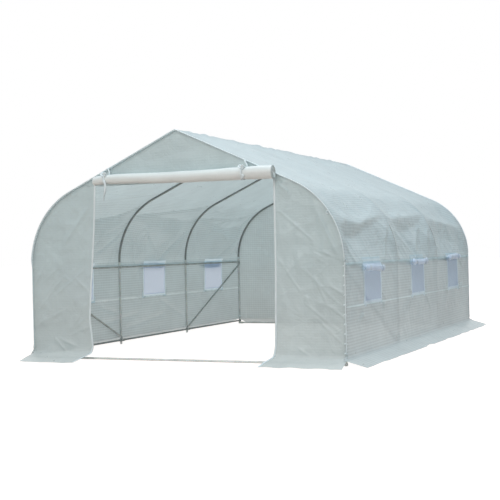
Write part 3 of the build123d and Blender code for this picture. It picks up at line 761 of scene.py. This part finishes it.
netPieces, headPieces, trimStore = [], [], newStore()
rng = np.random.default_rng(21)
for sign, sideName in ((-1, "left"), (1, "right")):
    for i, mid in enumerate(bayMiddles):
        block = coverBlock(sign, mid, halfWindow + 1e-6, dropTo(cover["windowTop"]) - 1e-6, dropTo(cover["windowLow"]) + 1e-6)
        patch, out = coverSet[block], coverNormal[block]
        bulge = np.outer(*(np.sin(np.linspace(0, math.pi, count)) for count in patch.shape[:2]))
        netPieces.append(gridPiece(f"{sideName}WindowNet{i + 1}", patch - out * (trim["bulge"] * bulge)[..., None],
                                   coverUv[block], net, slotName="window_net", nodes=(f"{sideName}_window_nets",)))
        ring, ringOut = rimOf(patch), rimOf(out)
        way = unit(np.roll(ring, -1, 0) - np.roll(ring, 1, 0))
        sideWay = unit(np.cross(ringOut, way))
        if ((ring - ring.mean(0)) * sideWay).sum() < 0:
            sideWay = -sideWay
        fromCorner = np.abs(np.abs(ring[:, 1] - mid) - halfWindow) + np.abs(ring[:, 2] - cover["windowLow"])
        ears = bell(fromCorner, trim["earSize"])
        width = trim["width"] + trim["ear"] * ears + trim["uneven"] * rng.standard_normal(len(ring))
        strip = ring + sideWay * (trim["shift"] + trim["earShift"] * ears)[:, None] + ringOut * trim["proud"]
        addStrip(trimStore, strip, sideWay, width, closed=True)
        block = coverBlock(sign, mid, halfWindow + 0.03, dropTo(cover["headTop"]) - 0.02, dropTo(cover["windowTop"]) + 0.012)
        headPieces.append(gridPiece(f"{sideName}FlapHead{i + 1}", coverSet[block] + coverNormal[block] * trim["proud"],
                                    coverUv[block], headTape, slotName="white_tape"))
trims = storePiece("windowTape", trimStore, windowTape, smooth=False, slotName="white_tape",
                   nodes=("left_window_trims", "right_window_trims"))

# the roof's hem laps over the window band, a little off it between the hoops, and stops beside the flaps
hem = dict(width=0.020, off=0.003, wave=0.0015, besideFlap=0.27)
hemStore = newStore()
for sign in (-1, 1):
    j = int(np.argmin(np.abs(girth - sign * dropTo(cover["hem"]))))
    off = hem["off"] + hem["off"] * np.abs(ripples(lengthLines, lengthLines * 0, 0.14, 1, 33)) * fade(betweenHoops[:, 0] * 3)
    line = coverSet[:, j] + sign * np.stack([off, 0 * off, 0 * off], -1)
    line[:, 2] += hem["wave"] * ripples(lengthLines, lengthLines * 0, 0.25, 1, 34)
    starts = [-tunnel["lip"]] + [mid + hem["besideFlap"] for mid in bayMiddles]
    ends = [mid - hem["besideFlap"] for mid in bayMiddles] + [tunnel["lip"]]
    for a, b in zip(starts, ends):
        part = (lengthLines >= a) & (lengthLines <= b)
        addStrip(hemStore, line[part], unit(np.array([0.3 * sign, 0, -1.0])), hem["width"])
hems = storePiece("roofHems", hemStore, hemTape, slotName="woven_cover")

print("windows and seams made")

# end panels: front left and right of the door, gable over it, and the closed back
panel = dict(cell=0.0095, edge=0.0110, legEdge=1.4955, give=0.0008, passes=12, bend=0.005, gableLow=1.54, gableHalf=0.9,
             gableUnder=0.002, gablePush=0.002)
doorLeft = ((0.0, -0.905), (0.06, -0.885), (0.12, -0.868), (0.37, -0.893), (0.62, -0.878), (0.89, -0.852), (1.15, -0.832),
            (1.38, -0.82), (1.6, -0.81))
doorRight = ((0.0, 0.838), (0.06, 0.86), (0.15, 0.880), (0.37, 0.885), (0.78, 0.894), (1.19, 0.896), (1.54, 0.897),
             (1.6, 0.897))
archS = np.linspace(0, 3.2, 1600)
archX, archZ = archLine(archS, panel["edge"])[:2]
above = archZ > flare["start"]


def archEdge(z):
    return np.interp(z, archZ[above][::-1], archX[above][::-1])


def doorEdge(line, z):
    z0, x0 = np.array(line).T
    return np.interp(z, z0, x0)


# down a panel to its foot, then out to the ground
def wallLine(top, cell):
    wall = top - flare["start"]
    s = np.concatenate([linesThrough([0, wall], cell), wall + linesThrough([0, 0.04, flare["length"]], 0.01)[1:]])
    out, z, _ = footLine(np.clip(s - top + flare["start"], 0, None))
    return s, np.where(s < wall, top - s, z), out


def creases(xg, zg, folds):
    total = np.zeros(xg.shape)
    for x0, z0, x1, z1, height, width in folds:
        along, off = besideLine(xg, zg, (x0, z0), (x1, z1))
        total += height * fade(np.minimum(along * 4, (1 - along) * 4 + 0.3)) * bell(off, width, 1.4)
    return total


def endPanel(name, face, top, leftEdge, rightEdge, folds, seed, nodes, material, lumps=0.003, reach=1.0):
    s, z, out = wallLine(top, panel["cell"])
    s, out = s + (reach - 1) * out, reach * out
    width = float(np.max(rightEdge(z) - leftEdge(z)))
    t = np.linspace(0, 1, max(6, round(width / panel["cell"])) + 1)
    left, right = leftEdge(z)[None, :], rightEdge(z)[None, :]
    xg = left + t[:, None] * (right - left)
    zg, og, sg = (np.broadcast_to(v[None, :], xg.shape) for v in (z, out, s))
    flat = np.stack([xg, face * (tunnel["endSheet"] + og), zg], -1)
    lean = fade(og / 0.05)
    away = np.stack([0 * xg, face * (1 - lean), lean], -1)
    fromEdge = fade(np.minimum(np.abs(xg - left), np.abs(right - xg)) / 0.08)
    lump = ripples(xg, zg, 0.3, 0.5, seed) + 0.5 * ripples(xg, zg, 0.1, 0.16, seed + 1)
    push = creases(xg, zg, folds) + lumps * fromEdge * lump
    push *= np.clip(zg / 0.1, 0.15, 1)
    start = flat + away * push[..., None]
    wave = ripples(xg, sg * 0, 0.4, 1, seed + 2) * fade(og / 0.15)
    start[..., 1] += face * 0.012 * wave
    start[..., 2] = np.maximum(start[..., 2] + 0.004 * np.abs(wave), flare["ground"] * 0.8)

    def stayOut(p):
        p[..., 1] = face * np.maximum(face * p[..., 1], tunnel["endSheet"] - 0.0012)
        p[..., 2] = np.maximum(p[..., 2], flare["ground"] * 0.8)

    free = np.ones(xg.shape)
    free[0] = free[-1] = free[:, -1] = free[:, 0] = 0
    start = settleCloth(start, free, panel["give"], panel["passes"], panel["bend"], stayOut)
    piece = gridPiece(name, start, np.stack([xg, sg], -1), material, slotName="woven_cover", nodes=nodes)
    cut = areaUnder(rightEdge(z) - leftEdge(z), s)
    return start


topLeft, topRight = (float(np.interp(abs(line[-1][1]), archX, archZ)) - 0.004 for line in (doorLeft, doorRight))


def legEdge(z):
    foot = 1.503 + 0.05 * fade(1 - z / 0.07)
    return np.where(z <= 0.1, foot, np.where(z < 0.86, panel["legEdge"], archEdge(z)))


def farEdge(z):
    return -archEdge(z) + 0.05 * fade(1 - z / 0.06)


foldsRight = ((1.223, 0.751, 1.342, 0.493, 0.007, 0.010), (1.342, 0.493, 1.505, 0.372, 0.007, 0.010),
              (1.345, 0.657, 1.505, 0.563, 0.006, 0.010), (0.917, 0.66, 1.152, 0.917, 0.004, 0.012),
              (1.265, 0.938, 1.473, 0.853, 0.006, 0.010), (1.236, 1.314, 1.472, 0.841, 0.009, 0.022),
              (1.284, 1.218, 1.425, 0.90, 0.007, 0.014), (1.046, 0.162, 1.207, 0.059, 0.007, 0.010),
              (0.991, 1.074, 1.132, 1.153, 0.005, 0.010), (0.924, 1.504, 1.025, 1.416, 0.008, 0.012),
              (1.46, 0.44, 1.14, 0.56, 0.005, 0.016), (0.90, 1.40, 0.98, 0.86, 0.005, 0.03))
foldsLeft = ((-0.811, 1.446, -1.158, 1.023, 0.010, 0.020), (-0.83, 1.40, -1.02, 0.95, 0.006, 0.012),
             (-1.293, 0.211, -1.12, 0.043, 0.010, 0.014), (-1.25, 0.20, -0.98, 0.10, 0.007, 0.014),
             (-1.089, 0.777, -0.882, 0.585, 0.005, 0.012), (-1.46, 0.52, -1.00, 0.84, 0.004, 0.022),
             (-0.9, 0.62, -1.38, 0.3, 0.004, 0.025))


# straight creases that run in a fan from a laced or bound edge into the panel
fan = dict(size=(0.16, 0.5), height=(0.002, 0.006), width=(0.008, 0.012))


def creaseFan(seed, count, x0, lowZ, highZ, way, lift):
    rng = np.random.default_rng(seed)
    out = []
    for k in range(count):
        z0 = rng.uniform(lowZ, highZ)
        size = rng.uniform(*fan["size"])
        turn = rng.uniform(*lift)
        end = x0 + way * size * math.cos(turn), z0 + size * math.sin(turn)
        out.append((x0, z0, *end, rng.uniform(*fan["height"]), rng.uniform(*fan["width"])))
    return tuple(out)


foldsRight += creaseFan(52, 7, 1.48, 0.12, 0.8, -1, (0.5, 1.15)) + creaseFan(53, 2, 0.9, 0.9, 1.5, 1, (-1.2, -0.5))
foldsLeft += creaseFan(42, 9, -1.48, 0.15, 0.8, 1, (0.4, 1.1)) + creaseFan(43, 9, -0.87, 0.3, 1.45, -1, (-1.1, -0.3))
leftGrid = endPanel("frontLeftPanel", -1, topLeft, farEdge, lambda z: doorEdge(doorLeft, z), foldsLeft, 41,
                    ("front_left_panel", "front_skirts"), panelSheet, reach=1.5)
rightGrid = endPanel("frontRightPanel", -1, topRight, lambda z: doorEdge(doorRight, z), legEdge, foldsRight, 51,
                     ("front_right_panel", "front_skirts"), panelSheet, reach=1.4)
foldsBack = tuple((way * x, z, way * x * 0.4, z - 0.5, 0.01, 0.03) for x, z in ((1.35, 1.1), (0.7, 1.6), (1.46, 0.7))
                  for way in (-1, 1))
backTop = float(archZ[0]) - 0.006
endPanel("backPanel", 1, backTop, lambda z: -archEdge(z), archEdge, foldsBack, 61, ("back_panel", "back_skirt"), backSheet,
         lumps=0.004)

gx = np.linspace(-panel["gableHalf"], panel["gableHalf"], 125)
gt = np.linspace(0, 1, 31)
gTop = np.interp(np.abs(gx), archX, archZ) - panel["gableUnder"]
gz = panel["gableLow"] + gt[None, :] * (gTop - panel["gableLow"])[:, None]
gX = np.broadcast_to(gx[:, None], gz.shape)
gPush = panel["gablePush"] * (ripples(gX, gz, 0.35, 0.2, 71) + 1) * np.minimum(1, 4 * gt * (1 - gt))[None, :]
gableGrid = np.stack([gX, -(tunnel["endSheet"] + np.maximum(gPush, -0.001)), gz], -1)
gable = gridPiece("gablePanel", gableGrid, np.stack([gX, gz], -1), panelSheet, slotName="woven_cover", nodes=("gable_panel",))
print("end panels made")

# white binding down both sides of the door, and piping round the cover's end edges
binding = dict(inset=0.006, proud=0.0008, width=0.017, thick=0.003, piping=0.0042)
bindStore = newStore()
for grid, row, inward in ((leftGrid, -1, -1), (rightGrid, 0, 1)):
    line = grid[row, ::2]
    way = unit(np.gradient(line, axis=0))
    sideWay = unit(np.stack([np.full(len(line), float(inward)), 0 * line[:, 0], 0 * line[:, 0]], -1))
    up = unit(np.cross(sideWay, way) * -inward)
    line = line + sideWay * binding["inset"] + up * binding["proud"]
    addBand(bindStore, line, sideWay, up, binding["width"], binding["thick"])
storePiece("doorBinding", bindStore, tape, slotName="white_tape", nodes=("door_bindings",))
pipeStore = newStore()
for row in (0, -1):
    addPipe(pipeStore, coverSet[row, np.abs(girth) < footStart][::2], binding["piping"])
# the front right panel is laced round the leg, and the leg shows between the loops
laces = dict(low=0.10, high=0.86, step=0.078, width=0.013, thick=0.0015)
for z in np.arange(laces["low"], laces["high"], laces["step"]):
    loop = np.array([(1.478, -2.2672, z), (1.485, -2.2676, z + 0.003), (1.494, -2.2676, z + 0.004), (1.4995, -2.2660, z),
                     (1.5015, -2.2600, z - 0.003)])
    addBand(pipeStore, loop, (0, 0, 1), (0, -1, 0), laces["width"], laces["thick"])
storePiece("edgePiping", pipeStore, tape, slotName="white_tape")


# rolled sheets: the door over the doorway and the flaps over the windows, pinched by their ties and thin at the ends
def spiralRoll(roll, length, ties, cells, turns, seed):
    outer, inner = roll["outer"], roll["inner"]
    full = 2 * roll["flat"] / (outer + inner)
    a = np.linspace(0, full, turns)
    t = np.linspace(-0.5, 0.5, cells)
    r = outer - (outer - inner) * a / full
    tg, ag = np.meshgrid(t * length, a, indexing="ij")
    lumps = ripples(tg, 0.25 * np.cos(ag), 0.3, 0.5, seed) + ripples(tg, 0.25 * np.sin(ag), 0.22, 0.5, seed + 1)
    pinch = sum(roll["pinch"] * bell(t - s, roll["pinchWidth"]) for s in ties)
    far = np.abs(t) if roll["bothEnds"] else -t
    atEnd = fade((far - roll["endFrom"]) / roll["endOver"]) ** roll["endPower"]
    swell = roll["middle"] + roll["grow"] * t - pinch - roll["endPinch"] * atEnd
    rg = r[None, :] * swell[:, None] * (1 + roll["lump"] * lumps / 2)
    run = np.concatenate([[0], np.cumsum((r[1:] + r[:-1]) / 2 * np.diff(a))])
    return tg, rg, ag, np.stack([tg, np.broadcast_to(run[None, :], tg.shape)], -1)


doorRoll = dict(axis=(-2.3411, 1.588), left=-0.775, right=0.925, outer=0.0525, inner=0.016, flat=1.6, straps=(-0.66, 0.66),
                middle=0.96, grow=0.30, lump=0.022, pinch=0.07, pinchWidth=0.02, endPinch=0.06, endFrom=0.44, endOver=0.06,
                endPower=1, bothEnds=False)
sag = dict(all=0.004, tilt=0.012, wave=0.004, waves=7, end=0.014, endFrom=-0.42, endOver=0.08)
rollY, rollZ = doorRoll["axis"]
length = doorRoll["right"] - doorRoll["left"]
strapAt = [(x - doorRoll["left"]) / length - 0.5 for x in doorRoll["straps"]]


tg, rg, ag, rollUv = spiralRoll(doorRoll, length, strapAt, cells=90, turns=180, seed=81)
centre = (doorRoll["left"] + doorRoll["right"]) / 2
share = tg / length
atEnd = fade((sag["endFrom"] - share) / sag["endOver"]) ** 1.5
droop = -sag["all"] - sag["tilt"] * share - sag["wave"] * np.cos(share * sag["waves"]) - sag["end"] * atEnd
rollGrid = np.stack([centre + tg, rollY + rg * np.cos(ag), rollZ + droop - rg * np.sin(ag)], -1)
rolled = gridPiece("rolledDoor", rollGrid, rollUv, rollSheet, slotName="rolled_sheet", nodes=("rolled_door",))

# the layers at both ends of the roll, pressed together
layers = dict(apart=0.0075, depth=0.0016, inset=0.003, eye=0.003, rim=0.985)
for end, row, sideName in ((-1, 0, "Left"), (1, -1, "Right")):
    turn = np.linspace(0, 2 * math.pi, 49)
    ray = np.linspace(layers["eye"], layers["rim"], 40)[:, None] * rg[row, :49].mean()
    step = layers["depth"] * np.sin(2 * math.pi * ray / layers["apart"] + turn[None, :])
    disc = np.stack([centre + tg[row, 0] - end * (layers["inset"] + step), rollY + ray * np.cos(turn),
                     rollZ + droop[row, 0] - ray * np.sin(turn)], -1)
    discUv = np.stack(np.broadcast_arrays(ray, turn[None] * 0.03), -1)
    gridPiece("rolledDoorEnd" + sideName, disc, discUv, rollSheet, slotName="rolled_sheet")
# width and thickness of the tape round the roll, up to the arch, in the bow and in its tail
strap = dict(ring=(0.017, 0.0018), riser=(0.016, 0.0018), bow=(0.016, 0.0016), tail=(0.018, 0.0016))
strapStore = newStore()
for x, t in zip(doorRoll["straps"], strapAt):
    i = int(np.argmin(np.abs(share[:, 0] - t)))
    r = rg[i].max() + 0.0022
    z0 = rollZ + droop[i, 0]
    way = roundWays(40, (0, 1, 0), (0, 0, 1))
    addBand(strapStore, np.array([x, rollY, z0]) + r * way, (1, 0, 0), way, *strap["ring"], closed=True)
    rise = np.linspace(0, 1, 10)
    top = float(np.interp(abs(x), archX, archZ)) + 0.004
    up = np.stack([x + 0.012 * np.sin(rise * 4), -2.2915 + 0 * rise - 0.004 * np.sin(rise * 3.1),
                   z0 + 0.03 + (top - z0 - 0.03) * rise], -1)
    addBand(strapStore, up, (1, 0, 0), (0, -1, 0), *strap["riser"])
    knot = np.array([x + 0.004, rollY - r * 0.72 - 0.004, z0 + r * 0.72 + 0.002])
    for turnAway, size in ((0.6, 0.030), (2.5, 0.034), (-0.7, 0.022)):
        k = np.linspace(0, 2 * math.pi, 22)
        far, wide = size * (1 - np.cos(k)) / 2, 0.009 * np.sin(k)
        leaf = np.stack([far * math.cos(turnAway) - wide * math.sin(turnAway), -0.008 * np.sin(k) - 0.004,
                         far * math.sin(turnAway) + wide * math.cos(turnAway)], -1)
        across = unit(np.array([-math.sin(turnAway), -0.7, math.cos(turnAway)]))
        addBand(strapStore, knot + leaf, across, (0.2, -0.6, 0.75), *strap["bow"])
    fall = np.linspace(0, 1, 14)
    drop = 0.19 if x < 0 else 0.06
    tail = np.stack([x + 0.01 + 0.012 * np.sin(fall * 5), rollY - r - 0.006 + 0.012 * fall, z0 - 0.01 - drop * fall], -1)
    across = np.stack([np.cos(fall * 2), np.sin(fall * 2), 0 * fall], -1)
    addBand(strapStore, tail, across, np.cross(across, (0, 0, 1)), *strap["tail"])
straps = storePiece("doorStraps", strapStore, tape, slotName="white_tape", nodes=("door_straps",))

flap = dict(axis=(1.5235, 0.802), squash=0.64, length=0.57, outer=0.0345, inner=0.008, flat=0.36, ties=(-0.3, 0.3),
            hang=(-0.028, 0.0, 0.026), along=(-0.03, -0.02, -0.05), top=0.815, middle=0.97, grow=0.0, lump=0.10, pinch=0.34,
            pinchWidth=0.045, endPinch=0.7, endFrom=0.44, endOver=0.06, endPower=2, bothEnds=True, bow=0.006, bowWaves=9,
            tieShift=0.05, tieWidth=0.015, tieThick=0.0016)
flapTies = newStore()
for sign, sideName in ((-1, "left"), (1, "right")):
    for i, mid in enumerate(bayMiddles):
        hang, along = (flap[name][i if sign > 0 else 2 - i] for name in ("hang", "along"))
        seed = 100 + 10 * i + (5 if sign > 0 else 0)
        rng = np.random.default_rng(seed)
        ties = [t + rng.uniform(-flap["tieShift"], flap["tieShift"]) for t in flap["ties"]]
        tg, rg, ag, uv = spiralRoll(flap, flap["length"] * rng.uniform(0.93, 1.0), ties, cells=46, turns=90, seed=seed)
        bow = flap["bow"] * np.sin(tg * flap["bowWaves"] + rng.uniform(0, 6)) + hang
        tg = tg + along
        grid = np.stack([sign * (flap["axis"][0] + flap["squash"] * rg * np.cos(ag + math.pi)), mid + tg,
                         flap["axis"][1] + bow + rg * np.sin(ag + math.pi)], -1)
        fall = np.linspace(0, 1, 7)[None, :-1, None]
        headHeight = max(flap["top"], flap["axis"][1] + hang + 0.012)
        row = int(np.argmin(np.abs(girth - sign * dropTo(headHeight))))
        wallX = np.interp(mid + tg[:, 0], lengthLines, coverSet[:, row, 0]) + sign * 0.0035
        head = np.stack([wallX, mid + tg[:, 0], np.full(len(tg), headHeight)], -1)[:, None]
        grid = np.concatenate([head + fall * (grid[:, :1] - head), grid], 1)
        drape = np.linspace(-flap["top"] + flap["axis"][1], 0, 7)[:-1]
        uv = np.concatenate([np.stack(np.broadcast_arrays(tg[:, :1], drape[None]), -1), uv], 1)
        piece = gridPiece(f"{sideName}WindowFlap{i + 1}", grid, uv, flapSheet, slotName="rolled_sheet",
                          nodes=(f"{sideName}_window_flaps",))
        for t in ties:
            k = int(np.argmin(np.abs((tg[:, 0] - tg[:, 0].mean()) / flap["length"] - t)))
            way = roundWays(24, (flap["squash"], 0, 0), (0, 0, 1))
            middle = np.array([sign * flap["axis"][0], mid + tg[k, 0], flap["axis"][1] + bow[k, 0]])
            addBand(flapTies, middle + (rg[k].max() + 0.0012) * way, (0, 1, 0), unit(way), flap["tieWidth"], flap["tieThick"],
                    closed=True)
storePiece("flapTies", flapTies, tape, slotName="white_tape")
print("rolls made")

# small ties: a tab on the front arch, a knot at the eaves and bands round the back hoop's legs
tie = dict(tabHeight=1.24, tabReach=0.022, tabWidth=0.012, knotWidth=0.011, thick=0.0016, bands=(0.10, 0.852),
           bandWidth=0.022, bandThick=0.0011)
tieStore = newStore()
k = np.linspace(0, 2 * math.pi, 17)
tab = np.stack([float(archEdge(tie["tabHeight"])) - 0.012 - tie["tabReach"] * np.sin(k / 2), -2.2705 - 0.006 * np.sin(k),
                tie["tabHeight"] - 0.012 * np.cos(k / 2)], -1)
addBand(tieStore, tab, (0, 0, 1), (0, -1, 0), tie["tabWidth"], tie["thick"])
for turnAway, size in ((0.9, 0.030), (2.4, 0.026), (-1.4, 0.034)):
    far = size * (1 - np.cos(k)) / 2
    leaf = np.stack([1.5015 + far * math.cos(turnAway) * 0.5, -2.272 - 0.005 * np.abs(np.sin(k)),
                     0.838 + far * math.sin(turnAway)], -1)
    across = unit(np.array([-math.sin(turnAway), -0.5, math.cos(turnAway)]))
    addBand(tieStore, leaf, across, (0.3, -0.9, 0.2), tie["knotWidth"], tie["thick"])
for sign in (-1, 1):
    for z in tie["bands"]:
        way = roundWays(24, (1, 0, 0), (0, 1, 0))
        middle = np.array([sign * tunnel["halfSpan"], hoopLines[-1], z])
        addBand(tieStore, middle + (tunnel["tube"] / 2 + 0.0005) * way, (0, 0, 1), way, tie["bandWidth"], tie["bandThick"],
                closed=True)
storePiece("coverTies", tieStore, tape, slotName="white_tape")

# bolts through the flattened bar ends: shank, washer and hexagon nut, on the inner side of the legs
bolt = dict(shank=0.003, washer=0.0065, nut=0.0058, face=1.4700, endFace=2.2370, sideBar=0.0411, endBar=0.0138,
            braceHead=0.7727, braceFoot=0.0684, through=0.0255, throughEnd=0.0235)
boltStore = newStore()


# each part's start, radius, length and number of sides
def addBolt(place, way, reach):
    for start, size, length, sides in ((-reach, bolt["shank"], reach + 0.0075, 10), (0.0002, bolt["washer"], 0.0012, 16),
                                       (0.0014, bolt["nut"], 0.005, 6)):
        addPipe(boltStore, np.array(place) + np.array([[start], [start + length]]) * np.array(way), size, sides)


for sign in (-1, 1):
    for i, y in enumerate(hoopLines):
        for z in (tunnel["railHeight"], bolt["sideBar"], bolt["braceHead" if i in (0, 3) else "braceFoot"]):
            addBolt((sign * bolt["face"], y, z), (-sign, 0.0, 0.0), bolt["through"])
        if i in (0, 3):
            end = 1 if i else -1
            addBolt((sign * tunnel["halfSpan"], end * bolt["endFace"], bolt["endBar"]), (0.0, -end, 0.0), bolt["throughEnd"])
storePiece("barBolts", boltStore, steel, smooth=False, slotName="steel_fitting")
print("ties and bolts made")
